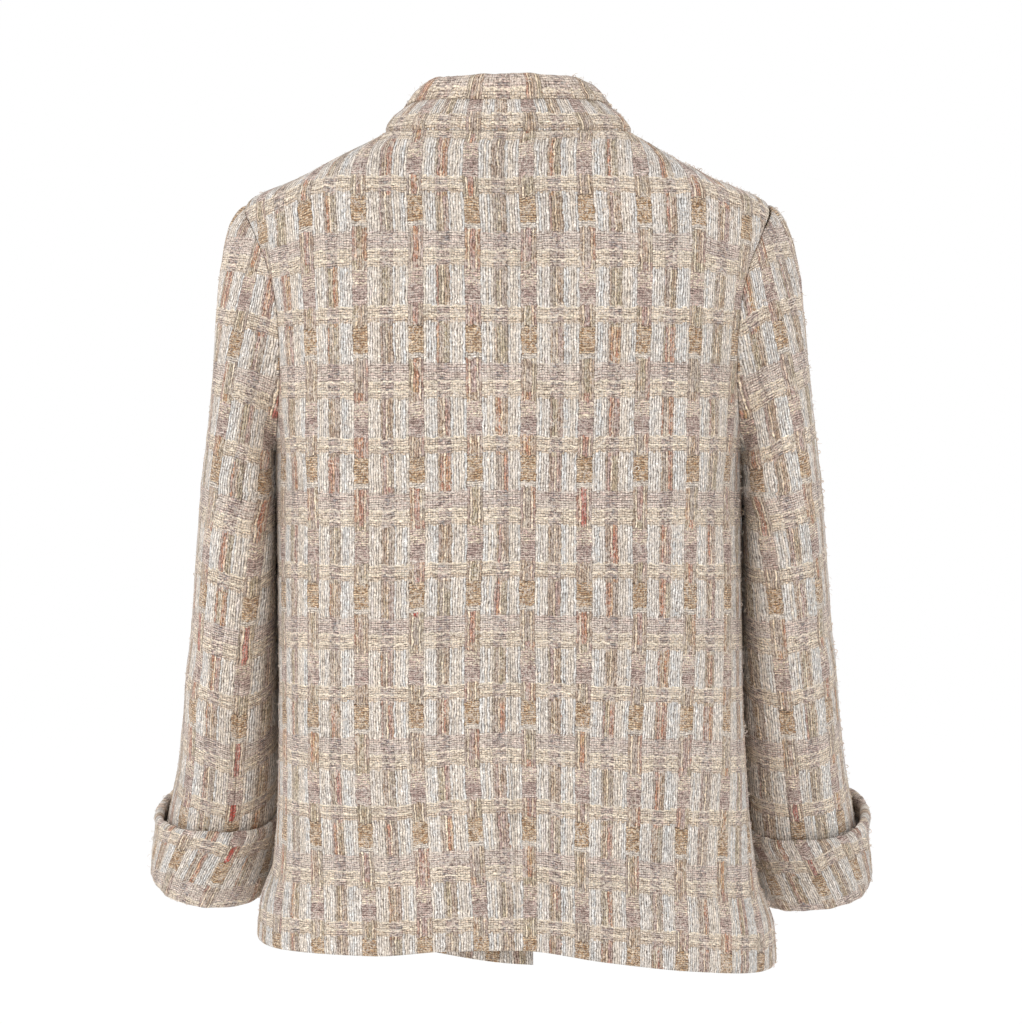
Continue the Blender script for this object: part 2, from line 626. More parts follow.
def panel_grid(side, towards_back, centre_gap):
    """Signed turns and heights of a fine grid over a panel, laid out as the solid's own coarse one is."""
    edge, underarm_row, tip_row = panel_edge(towards_back)
    heights = edge[:, 1]
    middle = 0.0 if towards_back else 2.0
    across = np.linspace(0.0, 1.0, fine_count(250.0) + 1)[None, :]
    arc = np.interp(heights, LEVELS, BACK_ARC if towards_back else FRONT_ARC)
    lean = np.zeros(len(heights))
    if not towards_back:
        lean = side * FRONT_EDGE_LEAN * smooth_step((UNDERARM - heights) / (UNDERARM - HEM)) / arc
    start = middle + lean + np.sign(1.0 - middle) * centre_gap / 2 / MM / arc
    end = edge[:, 0] - np.sign(1.0 - middle) * SEAM / 2 / MM / arc
    turn = start[:, None] * (1 - across) + end[:, None] * across
    points = body(edge[:, 0], edge[:, 1]) / MM
    run = np.concatenate(([0.0], np.cumsum(np.linalg.norm(np.diff(points, axis=0), axis=1)[underarm_row:])))
    top = -(BACK_NECK_DROP if towards_back else FRONT_NECK_DROP)
    centre = heights.copy()
    centre[underarm_row:] = UNDERARM + (top - UNDERARM) * run / run[-1]
    above = np.zeros(len(heights))
    shoulder = run[tip_row - underarm_row]
    above[underarm_row:] = smooth_step(np.clip((run - shoulder) / (run[-1] - shoulder), 0.0, 1.0))
    above = above[:, None]
    if not towards_back:
        turn = turn + above * (neck_curve(across[0])[0][None, :] - (2.0 - across))
    weight = (1 - above) * (1 - smooth_step(across)) ** 2 + above * neck_sweep(across, towards_back)
    height = heights[:, None] + (centre - heights)[:, None] * weight
    return turn * side, height


# Soft creases in the body: quarter turns and height of the middle, length and width (mm), lean from upright
# (degrees), height of the ridge (mm; minus for a hollow).
BODY_CREASES = (
    (0.74, -262.0, 120.0, 20.0, 38.0, -1.6),
    (0.62, -236.0, 90.0, 16.0, 48.0, 0.9),
    (-0.76, -268.0, 130.0, 22.0, -34.0, -1.8),
    (-0.60, -246.0, 84.0, 15.0, -50.0, 0.8),
    (0.55, -505.0, 190.0, 30.0, 4.0, 1.3),
    (0.86, -520.0, 150.0, 22.0, -6.0, -1.2),
    (-0.48, -520.0, 170.0, 26.0, -7.0, -1.1),
    (-0.82, -500.0, 180.0, 24.0, 5.0, 1.4),
    (0.10, -150.0, 110.0, 34.0, 8.0, 0.7),
    (-0.22, -120.0, 90.0, 26.0, -16.0, -0.6),
    (1.30, -270.0, 120.0, 20.0, -36.0, -1.7),
    (1.46, -236.0, 90.0, 18.0, -52.0, 1.0),
    (-1.28, -262.0, 130.0, 20.0, 40.0, -1.5),
    (-1.50, -240.0, 84.0, 16.0, 50.0, 0.9),
    (1.35, -500.0, 200.0, 26.0, 5.0, 1.5),
    (1.70, -520.0, 150.0, 24.0, -5.0, -1.2),
    (-1.40, -510.0, 180.0, 28.0, -6.0, 1.3),
    (-1.74, -480.0, 160.0, 22.0, 7.0, -1.1),
)


BODY_QUARTER = 235.0          # mm round a quarter of the body


def creases(turn, height, table, per_turn):
    """Sum of soft ridges and hollows, in mm, over a surface measured in turns and heights."""
    total = np.zeros(np.broadcast(turn, height).shape)
    for middle, level, length, width, lean, ridge in table:
        x, z = (turn - middle) * per_turn, height - level
        c, s = math.cos(math.radians(lean)), math.sin(math.radians(lean))
        along, across = z * c + x * s, x * c - z * s
        across = across + 6.0 * np.sin(along / length * 2.4)
        total += ridge * np.exp(-(along / length * 2.0) ** 2 - (across / width) ** 2)
    return total


def make_panel(name, side, towards_back, centre_gap):
    turn, height = panel_grid(side, towards_back, centre_gap)
    outer = body(turn, height)
    normal = body_normal(turn, height)
    arc = np.interp(height, LEVELS, BACK_ARC if towards_back else FRONT_ARC)
    if towards_back:
        first, repeat = (accent_at[k](height) for k in ((0, 1) if side > 0 else (2, 3)))
        u = ACCENT_MIDDLE + side * (np.abs(turn) * arc - first) / repeat
    else:
        u = ACCENT_MIDDLE - side * ((2.0 - np.abs(turn)) * arc - FRONT_ACCENT) / FRONT_REPEAT
    fall = shoulder_drop(np.abs(outer[..., 0]) / MM) * smooth_step((height + 150.0) / 90.0)
    v = band_at(height + fall)
    u = u + 0.035 * soft_noise(turn * 3.0, height / 90.0, 11)
    v = v + 0.030 * soft_noise(turn * 2.5, height / 120.0, 12)
    relief = (block_relief(u, v) + 0.42 * soft_noise(u * 5.0 + 7, v * 11.0, 5)
              + creases(turn, height, BODY_CREASES, BODY_QUARTER))
    chart = np.stack((u + OWN_YARNS[name], v + OWN_YARNS[name] / 6), axis=-1)
    return shell(name, outer, normal, chart, relief, free=(True, False, not towards_back, False))


# ---- sleeves ----
# quarter of the way round from the outer edge by way of the back, level (0 head to 2 end), length and width
# (mm), lean (degrees), height of the ridge (mm)
SLEEVE_CREASES = {
    1: ((0.6, 1.42, 60.0, 12.0, 62.0, -1.5), (0.3, 1.50, 50.0, 11.0, 76.0, 1.1),
        (2.4, 1.36, 70.0, 13.0, 95.0, -2.0), (2.6, 1.47, 60.0, 12.0, 82.0, -1.8),
        (1.5, 0.72, 60.0, 12.0, 30.0, -1.2), (0.2, 0.55, 70.0, 16.0, 8.0, 1.0),
        (1.1, 1.80, 46.0, 12.0, 68.0, -1.0), (3.1, 1.60, 60.0, 12.0, 104.0, -1.2)),
    -1: ((0.7, 1.34, 64.0, 12.0, -66.0, -1.4), (0.3, 1.44, 50.0, 12.0, -82.0, 1.0),
         (2.5, 1.40, 74.0, 13.0, -92.0, -2.1), (2.3, 1.52, 58.0, 12.0, -80.0, -1.6),
         (1.4, 0.78, 64.0, 12.0, -34.0, -1.3), (0.1, 0.50, 66.0, 15.0, -6.0, 1.1),
         (0.9, 1.74, 44.0, 12.0, -74.0, -1.1), (3.0, 1.64, 60.0, 12.0, -100.0, -1.3)),
}
LEVEL_LENGTH, QUARTER_ROUND = 280.0, 76.0      # mm down a sleeve to a level, and round a quarter of it
# Accent column at the back of a sleeve: height, mm round from the middle of the back (outwards positive), by side.
SLEEVE_ACCENT = {
    1: ((-562.0, -9.0), (-444.0, -9.5), (-388.0, -12.0), (-358.0, -14.0), (-296.0, -19.0), (-265.0, -24.0),
        (-170.0, -22.0)),
    -1: ((-562.0, -4.0), (-470.0, -5.5), (-403.0, -9.0), (-352.0, -12.0), (-292.0, -18.0), (-262.0, -23.0),
         (-170.0, -23.0)),
}
# height on that column, number of the repeat
SLEEVE_BANDS = {
    1: ((-640.0, 7.2), (-526.0, 5.83), (-444.0, 4.83), (-358.0, 3.83), (-265.0, 2.83), (-172.0, 1.83),
        (-78.0, 0.83), (0.0, 0.0)),
    -1: ((-640.0, 7.2), (-526.0, 5.83), (-441.0, 4.83), (-352.0, 3.83), (-262.0, 2.83), (-172.0, 1.83),
         (-80.0, 0.83), (0.0, 0.0)),
}
# height, mm that the bands climb for each mm outwards, and for each mm inwards
SLEEVE_CLIMB = {
    1: ((-640.0, 0.28, 0.25), (-330.0, 0.32, 0.25), (-200.0, 0.38, 0.0)),
    -1: ((-640.0, 0.18, 0.02), (-470.0, 0.2, 0.02), (-340.0, 0.3, 0.0), (-240.0, 0.44, 0.0), (-150.0, 0.7, 0.0)),
}
SLEEVE_REPEATS = {1: 39.5, -1: 36.5}  # width of a repeat round the sleeve, mm
HEAD_DRIFT = 0.19             # mm that the columns drift towards the neck for each mm up the sleeve head
ARC_HEIGHTS = (-262.0, -360.0, -475.0, -562.0, -640.0)
ARC_ANGLES = np.radians(np.arange(-150.0, 271.0, 1.0))


def arc_table(level):
    """mm round a ring of the arm from the middle of the back, outwards positive, at ARC_ANGLES."""
    wide, deep = rounded(ARC_ANGLES, SLEEVE_SQUARENESS)
    x = wide * (SLEEVE["outer"](level) - SLEEVE["inner"](level)) / 2
    y = deep * SLEEVE["half_depth"](level)
    middle = (ARC_ANGLES[1:] + ARC_ANGLES[:-1]) / 2
    # the inner side of the back lies flatter than the ring
    flat = np.where((middle > math.pi / 2) & (middle < math.pi), 0.4, 1.0)
    run = np.concatenate(([0.0], np.cumsum(np.hypot(np.diff(x), np.diff(y) * flat))))
    return np.interp(math.pi / 2, ARC_ANGLES, run) - run


def sleeve_chart(side, outer, along, angles):
    """Columns run down the arm, and bands climb from the accent column towards the outside."""
    x, y, z = side * outer[..., 0] / MM, outer[..., 1] / MM, outer[..., 2] / MM
    top = SLEEVE_RINGS[0][0]
    level = np.minimum(z, top)
    near, far = SLEEVE["outer"](level), SLEEVE["inner"](level)
    centre = (near + far) / 2 + (RIGHT_STAND_OFF if side < 0 else 0.0) - HEAD_DRIFT * np.maximum(z - top, 0.0)
    there = np.arctan2((y + SLEEVE["forward"](level)) / SLEEVE["half_depth"](level), (x - centre) * 2 / (near - far))
    there = angles + (there - angles + math.pi) % (2 * math.pi) - math.pi
    there = np.where(along < 1.0, there, angles)
    arcs = np.array([np.interp(there, ARC_ANGLES, arc_table(h)) for h in ARC_HEIGHTS])
    place = np.clip(np.interp(-z, [-h for h in ARC_HEIGHTS], np.arange(len(ARC_HEIGHTS))), 0, len(ARC_HEIGHTS) - 1.001)
    first = place.astype(int)
    pick = lambda k: np.take_along_axis(arcs, k[None], axis=0)[0]
    away = pick(first) * (first + 1 - place) + pick(first + 1) * (place - first)
    off = away - curve(SLEEVE_ACCENT[side], 1)(z)
    climb = np.where(off > 0, curve(SLEEVE_CLIMB[side], 1)(z), -curve(SLEEVE_CLIMB[side], 2)(z))
    ring = np.clip(along, 0.0, 1.0) * np.tan(np.radians(SLEEVE["pitch"](level)))
    back = SLEEVE["half_depth"](level) - SLEEVE["forward"](level) - y
    level_z = z - climb * 38.0 * np.tanh(off / 38.0) - ring * back
    return ACCENT_MIDDLE + side * off / SLEEVE_REPEATS[side], curve(SLEEVE_BANDS[side], 1)(level_z)


SLEEVE_LEAN_IN = {1: 3.2, -1: 5.6}    # mm that the inner side of a hanging sleeve leans on the body, by side
UNDERARM_LEAN_IN = {1: 5.0, -1: 8.0}  # and how much more just under the arm, mm
LEAN_MIDDLE, LEAN_SPREAD = -251.0, 17.0       # height where it is most, and how far it spreads, mm
CAP_LENGTH, ARM_LENGTH = 250.0, 306.0         # mm down a sleeve's head, and from there to its end
UPPER_WIDTH, UNDER_WIDTH = 190.0, 108.0       # mm round the upper and the under sleeve


def make_sleeve(name, side, first, last, upper):
    levels = np.concatenate((np.linspace(0.0, 1.0, fine_count(CAP_LENGTH) + 1),
                             np.linspace(1.0, 2.0, fine_count(ARM_LENGTH) + 1)[1:]))
    cols = fine_count(UPPER_WIDTH if upper else UNDER_WIDTH) + 1
    base = np.radians(np.linspace(first, last, cols))
    along = levels[:, None]
    angles = np.broadcast_to(base, (len(levels), cols)).copy()
    for end, towards in ((0, 1), (-1, -1)):
        a = angles[:, end:end + 1] if end == 0 else angles[:, -1:]
        reach = np.linalg.norm(sleeve(side, along, a + towards * 0.01) - sleeve(side, along, a), axis=-1) / 0.01
        a += towards * 0.6 * SEAM / reach
    outer = sleeve(side, along, angles)
    lean_in = smooth_step((along - 0.72) / 0.3) * smooth_step((1.97 - along) / 0.12)
    under_arm = np.exp(-((outer[..., 2] / MM - LEAN_MIDDLE) / LEAN_SPREAD) ** 2)
    lean = SLEEVE_LEAN_IN[side] * lean_in + UNDERARM_LEAN_IN[side] * under_arm
    outer[..., 0] -= side * lean * MM * np.maximum(-np.cos(angles), 0.0) ** 1.2
    around = sleeve(side, along, angles + 0.02) - sleeve(side, along, angles - 0.02)
    down = sleeve(side, along + 0.006, angles) - sleeve(side, np.maximum(along - 0.006, 0.0), angles)
    normal = unit(np.cross(down, around)) * side
    u, v = sleeve_chart(side, outer, np.broadcast_to(along, angles.shape), angles)
    u = u + 0.03 * soft_noise(u * 0.8, v * 0.9, 21 + side)
    v = v + 0.03 * soft_noise(u * 0.7, v * 0.8, 23 + side)
    turn = np.degrees(base)[None, :] / 90.0
    folds = [(middle, level * LEVEL_LENGTH, *rest) for middle, level, *rest in SLEEVE_CREASES[side]]
    relief = (block_relief(u, v) + 0.42 * soft_noise(u * 5.0 + 3, v * 11.0, 6)
              + creases(turn, along * LEVEL_LENGTH, folds, QUARTER_ROUND))
    chart = np.stack((u + OWN_YARNS[name], v + OWN_YARNS[name] / 6), axis=-1)
    return shell(name, outer, normal, chart, relief)


# ---- cuffs ----
# By side: where the accent column crosses the height of its ochre block (mm round from the middle of the back,
# outwards positive), how far it leans outwards for each mm up, that height, and the climb of the bands each way.
CUFF_CHART = {1: (-6.0, -0.36, -558.0, 0.40, 0.20), -1: (7.0, -0.38, -568.0, 0.40, 0.06)}
CUFF_REPEAT = 80.0            # height of a repeat on a cuff, mm
CUFF_ROUND = 330.0            # mm round a cuff


def even_section(rows, step):
    """A closed section in even steps: how far round each point is, and its two distances, in mm."""
    section = np.array(rows + rows[:1])
    length = np.concatenate(([0.0], np.cumsum(np.hypot(*np.diff(section, axis=0).T))))
    samples = np.linspace(0.0, length[-1], int(round(length[-1] / step)) + 1)[:-1]
    return samples, np.interp(samples, length, section[:, 0]), np.interp(samples, length, section[:, 1])


def make_cuff(name, side):
    """The turned-back cuff: a closed section carried round the arm, its chart running up from the fold."""
    out, up = even_section(CUFF_SECTION, FINE)[1:]
    outs = (out + np.roll(out, 1) + np.roll(out, -1)) / 3
    ups = (up + np.roll(up, 1) + np.roll(up, -1)) / 3
    top = max(up for out, up in CUFF_SECTION)
    rim = curve(CUFF_RIM, 1 if side > 0 else 2)
    rings = fine_count(CUFF_ROUND)
    angles = np.linspace(0.0, 2 * math.pi, rings + 1)
    height = CUFF_FOLD + ups[None, :] + rim(np.degrees(angles))[:, None] * np.clip(ups, 0, None)[None, :] / top
    share = np.clip(ups, 0.0, None) / top
    away = outs[None, :] + CUFF_FLARE[side] * share[None, :] ** 2 * np.clip(np.cos(angles), 0.0, None)[:, None]
    wide = np.broadcast_to(angles[:, None], height.shape)
    flip = np.array((side, 1.0, 1.0))
    ring = lambda h, a: arm_ring(side, h, a) * flip
    around = ring(height, wide + 0.02) - ring(height, wide - 0.02)
    down = ring(height - 2.0, wide) - ring(height + 2.0, wide)
    normal = unit(np.cross(down, around)) * side
    grid = (ring(height, wide) + away[..., None] * normal) * MM
    across, along = np.gradient(grid, axis=0), np.gradient(grid, axis=1)
    face = unit(np.cross(along, across)) * side
    middle = grid.mean(axis=1, keepdims=True)
    if np.einsum("ijk,ijk->ij", face, grid - middle).mean() < 0:
        face = -face
    lap = np.cumsum(np.linalg.norm(np.diff(grid[:, grid.shape[1] // 3], axis=0), axis=1)) / MM
    lap = np.concatenate(([0.0], lap))
    at, lean, gold, climb_out, climb_in = CUFF_CHART[side]
    z = grid[..., 2] / MM
    off = (np.interp(math.pi / 2, angles, lap) - lap)[:, None] - at - lean * (z - gold)
    climb = np.where(off > 0, climb_out, -climb_in)
    u = ACCENT_MIDDLE + side * off / SLEEVE_REPEATS[side]
    v = 5.83 - (z - climb * 40.0 * np.tanh(off / 40.0) - gold) / CUFF_REPEAT
    u, v = u + 0.05 * soft_noise(u * 0.8, v * 2, 31), v + 0.05 * soft_noise(u * 0.9, v * 1.3, 32)
    edge = np.exp(-((ups - top) / 9.0) ** 2)[None, :]
    relief = (block_relief(u, v) + (0.5 + 0.6 * edge) * soft_noise(u * 5.5, v * 11.0, 33)
              + 0.9 * edge * soft_noise(u * 1.6, v * 2, 34))
    points = grid + face * (relief * MM)[..., None]
    return tube_object(name, points, np.stack((u + OWN_YARNS[name], v + OWN_YARNS[name] / 6), axis=-1), True)


def tube_object(name, points, chart, closed_round):
    """A skin whose closed section (columns) runs along the rows; the last row meets the first where it is closed."""
    rows, cols = points.shape[:2]
    # every row carries its first point again, so that the chart isn't stretched back over one cell
    i, j = np.meshgrid(np.arange(rows - 1), np.arange(cols), indexing="ij")
    k = (j + 1) % cols
    if closed_round:
        points[-1] = points[0]
    face = np.stack((i * cols + j, i * cols + k, (i + 1) * cols + k, (i + 1) * cols + j), axis=-1).reshape(-1, 4)
    faces = [tuple(f) for f in face.tolist()]
    if not closed_round:
        faces.append(tuple(range(cols - 1, -1, -1)))
        faces.append(tuple((rows - 1) * cols + j for j in range(cols)))
    flat = points.reshape(-1, 3)
    mesh = bpy.data.meshes.new(name)
    mesh.from_pydata(flat.tolist(), [], faces)
    layer = mesh.uv_layers.new(name="chart")
    corner = np.empty(len(mesh.loops), dtype=np.int32)
    mesh.loops.foreach_get("vertex_index", corner)
    charts = chart.reshape(-1, 2)[corner].reshape(-1, 2)
    quads = charts[: len(face) * 4].reshape(-1, 4, 2)
    per_cell = np.abs(np.diff(chart[0, :, 1])).mean() if cols > 1 else 0.0
    wrap = np.abs(quads[:, 1, 1] - quads[:, 0, 1]) > 6 * per_cell + 0.05
    quads[wrap, 1, 1] = quads[wrap, 0, 1] + per_cell
    quads[wrap, 2, 1] = quads[wrap, 3, 1] + per_cell
    charts[: len(face) * 4] = quads.reshape(-1, 2)
    layer.data.foreach_set("uv", charts.astype(np.float32).ravel())
    item = bpy.data.objects.new(name + "_cloth", mesh)
    bpy.context.scene.collection.objects.link(item)
    if closed_round:
        weld(mesh)
    turned = right_side_out(mesh)
    mesh.shade_smooth()
    step = points[::COARSE, ::COARSE]
    surfaces.append(step[:, ::-1] if turned else step)
    return item


def weld(mesh):
    loose = bmesh.new()
    loose.from_mesh(mesh)
    bmesh.ops.remove_doubles(loose, verts=loose.verts, dist=1e-6)
    loose.to_mesh(mesh)
    loose.free()


# ---- collar ----
COLLAR_REPEAT = 41.5          # mm along the collar
STAND_ACCENT, FALL_ACCENT = 25.5, 23.0        # first accent column from the centre back, mm
STAND_START, STAND_RUN = -0.30, 94.0  # place in a repeat at the neck seam, and mm up the stand to a repeat
FALL_START, FALL_RUN = 8.2, 128.0     # mm round the fall's section where a repeat ends, and mm to a repeat


def make_collar_stand(name):
    turns = np.linspace(-2.0 * END_SHORT, 2.0 * END_SHORT, fine_count(500.0) + 1)
    frames = [collar_frame(t) for t in turns]
    up_count = fine_count(42.0)
    share = np.linspace(0.0, 1.0, up_count + 1)
    outer = np.zeros((len(turns), len(share), 3))
    normal = np.zeros_like(outer)
    for i, (base, face, top, up, out) in enumerate(frames):
        last = top - up * STAND_SHORT
        bow = STAND_BOW * np.sin(math.pi * share ** 0.62)
        outer[i] = (base[None] * (1 - share[:, None]) + last[None] * share[:, None] + out[None] * bow[:, None]) * MM
        blend = np.clip(share * 4.0, 0.0, 1.0)[:, None]
        normal[i] = unit(face[None] * (1 - blend) + out[None] * blend)
    lap = np.concatenate(([0.0], np.cumsum(np.linalg.norm(np.diff(outer[:, 4], axis=0), axis=1)) / MM))
    lap = lap - np.interp(0.0, turns, lap)
    height = np.linalg.norm(outer - outer[:, :1], axis=2) / MM
    u = ACCENT_MIDDLE + (lap[:, None] - STAND_ACCENT) / COLLAR_REPEAT + 0.0 * height
    v = STAND_START - height / STAND_RUN
    u, v = u + 0.04 * soft_noise(u * 0.7, v * 3, 41), v + 0.02 * soft_noise(u * 0.8, v, 42)
    relief = block_relief(u, v) + 0.5 * soft_noise(u * 5.5, v * 11.0, 43)
    chart = np.stack((u + OWN_YARNS[name], v + OWN_YARNS[name] / 6), axis=-1)
    return shell(name, outer, normal, chart, relief, thickness=STAND_CLOTH * MM)


FALL_LIES_IN = 1.3            # mm that the fall's loose edge lies closer to the stand


def make_collar_fall(name):
    turns = np.linspace(-2.0 * END_SHORT, 2.0 * END_SHORT, fine_count(470.0) + 1)
    samples, out, up = even_section(FALL_SECTION, FINE * 0.9)
    out = out - FALL_LIES_IN * smooth_step((-up - 5.0) / 12.0)
    grid = []
    for turn in turns:
        top, rise, away = collar_frame(turn)[2:]
        grid.append(top[None] + away[None] * out[:, None] + rise[None] * up[:, None])
    grid = np.array(grid) * MM
    across, along = np.gradient(grid, axis=0), np.roll(grid, -1, axis=1) - np.roll(grid, 1, axis=1)
    face = unit(np.cross(along, across))
    middle = grid.mean(axis=1, keepdims=True)
    if np.einsum("ijk,ijk->ij", face, grid - middle).mean() < 0:
        face = -face
    lap = np.concatenate(([0.0], np.cumsum(np.linalg.norm(np.diff(grid[:, grid.shape[1] // 3], axis=0), axis=1)) / MM))
    lap = lap - np.interp(0.0, turns, lap)
    u = ACCENT_MIDDLE + (lap[:, None] - FALL_ACCENT) / COLLAR_REPEAT + 0.0 * up[None, :]
    v = (samples[None, :] - FALL_START) / FALL_RUN - 1.0 + 0.0 * u
    u, v = u + 0.04 * soft_noise(u * 0.7, v * 3, 51), v + 0.03 * soft_noise(u * 0.8, v, 52)
    relief = block_relief(u, v) + 0.75 * soft_noise(u * 5.5, v * 11.0, 53) + 0.6 * soft_noise(u * 1.7, v * 2, 54)
    points = grid + face * (relief * MM)[..., None]
    return tube_object(name, points, np.stack((u + OWN_YARNS[name], v + OWN_YARNS[name] / 6), axis=-1), False)


# ---- cloth finishes ----
class Wiring:
    """Short hand for laying out a node tree."""

    def __init__(self, tree):
        self.tree = tree

    def add(self, kind, settings=None, **inputs):
        node = self.tree.nodes.new(kind)
        for key, value in (settings or {}).items():
            setattr(node, key, value)
        for key, value in inputs.items():
            self.give(node.inputs[key.replace("_", " ")], value)
        return node

    def give(self, socket, value):
        if isinstance(value, bpy.types.NodeSocket):
            self.tree.links.new(value, socket)
        else:
            socket.default_value = value

    def math(self, operation, *values):
        node = self.tree.nodes.new("ShaderNodeMath")
        node.operation = operation
        for socket, value in zip(node.inputs, values):
            self.give(socket, value)
        return node.outputs[0]

    def vector(self, x, y, z=0.0):
        return self.add("ShaderNodeCombineXYZ", X=x, Y=y, Z=z).outputs[0]

    def noise(self, place, scale, detail=2.0, rough=0.55, warp=0.0):
        return self.add("ShaderNodeTexNoise", {"noise_dimensions": "3D"}, Vector=place, Scale=scale, Detail=detail,
                        Roughness=rough, Distortion=warp).outputs["Fac"]

    def chance(self, x, y, z=0.0):
        """One random number for a cell."""
        node = self.add("ShaderNodeTexWhiteNoise", {"noise_dimensions": "3D"}, Vector=self.vector(x, y, z))
        return node.outputs["Value"]

    def ramp(self, value, stops, steps=True):
        node = self.tree.nodes.new("ShaderNodeValToRGB")
        node.color_ramp.interpolation = "CONSTANT" if steps else "LINEAR"
        points = node.color_ramp.elements
        while len(points) < len(stops):
            points.new(0.5)
        for point, (place, colour) in zip(points, stops):
            point.position = place
        for point, (place, colour) in zip(points, stops):
            point.color = (*colour, 1.0) if hasattr(colour, "__len__") else (colour, colour, colour, 1.0)
        self.give(node.inputs[0], value)
        return node.outputs[0]

    def mix(self, share, first, second, blend="MIX"):
        node = self.tree.nodes.new("ShaderNodeMix")
        node.data_type, node.blend_type = "RGBA", blend
        self.give(node.inputs[0], share)
        self.give(node.inputs[6], first)
        self.give(node.inputs[7], second)
        return node.outputs[2]

    def range(self, value, low, high, to_low=0.0, to_high=1.0, smooth=False):
        node = self.add("ShaderNodeMapRange", {"interpolation_type": "SMOOTHSTEP" if smooth else "LINEAR"})
        for index, given in enumerate((value, low, high, to_low, to_high)):
            self.give(node.inputs[index], given)
        return node.outputs[0]


def ink(text):
    """Linear colour of a dye given in the usual six-figure form."""
    parts = [int(text[k:k + 2], 16) / 255 for k in (0, 2, 4)]
    return tuple(p / 12.92 if p <= 0.04045 else ((p + 0.055) / 1.055) ** 2.4 for p in parts)


WHITE, ICE, GREY, SHELL, LILAC = ink("e9e0d7"), ink("dbdad8"), ink("bdb8b2"), ink("e6d8c8"), ink("d0c0bc")
CREAM, CORD, PEACH, SAND, HONEY = ink("f3e2c8"), ink("e9dac4"), ink("e4ccb0"), ink("e6d6c0"), ink("e9d0b0")
PINK, ROSE, TAN, OCHRE, AMBER = ink("ecd7cb"), ink("d2b7ac"), ink("f0dbc1"), ink("b48f6b"), ink("cba881")
BROWN, OLIVE, TAUPE, MAUVE, PLUM = ink("b89c83"), ink("b1a388"), ink("b5a59b"), ink("b69d98"), ink("ad938b")
RUST, UMBER, SLATE, GAP = ink("bd8469"), ink("6a5546"), ink("8c8b8d"), ink("4a3b30")
WINE, RED = ink("ac6a60"), ink("c25548")
# stray fibres on the weave: where their noise starts, how close they lie, dye, strength
STRAY_FIBRES = ((21.0, 5.2, SHELL, 0.62), (33.0, 6.8, WHITE, 0.5), (47.0, 6.0, UMBER, 0.42))


def group_with(name, inputs, outputs):
    tree = bpy.data.node_groups.new(name, "ShaderNodeTree")
    for label, kind, value in inputs:
        socket = tree.interface.new_socket(label, in_out="INPUT", socket_type=kind)
        if value is not None:
            socket.default_value = value
    for label, kind in outputs:
        tree.interface.new_socket(label, in_out="OUTPUT", socket_type=kind)
    return tree, tree.nodes.new("NodeGroupInput"), tree.nodes.new("NodeGroupOutput")


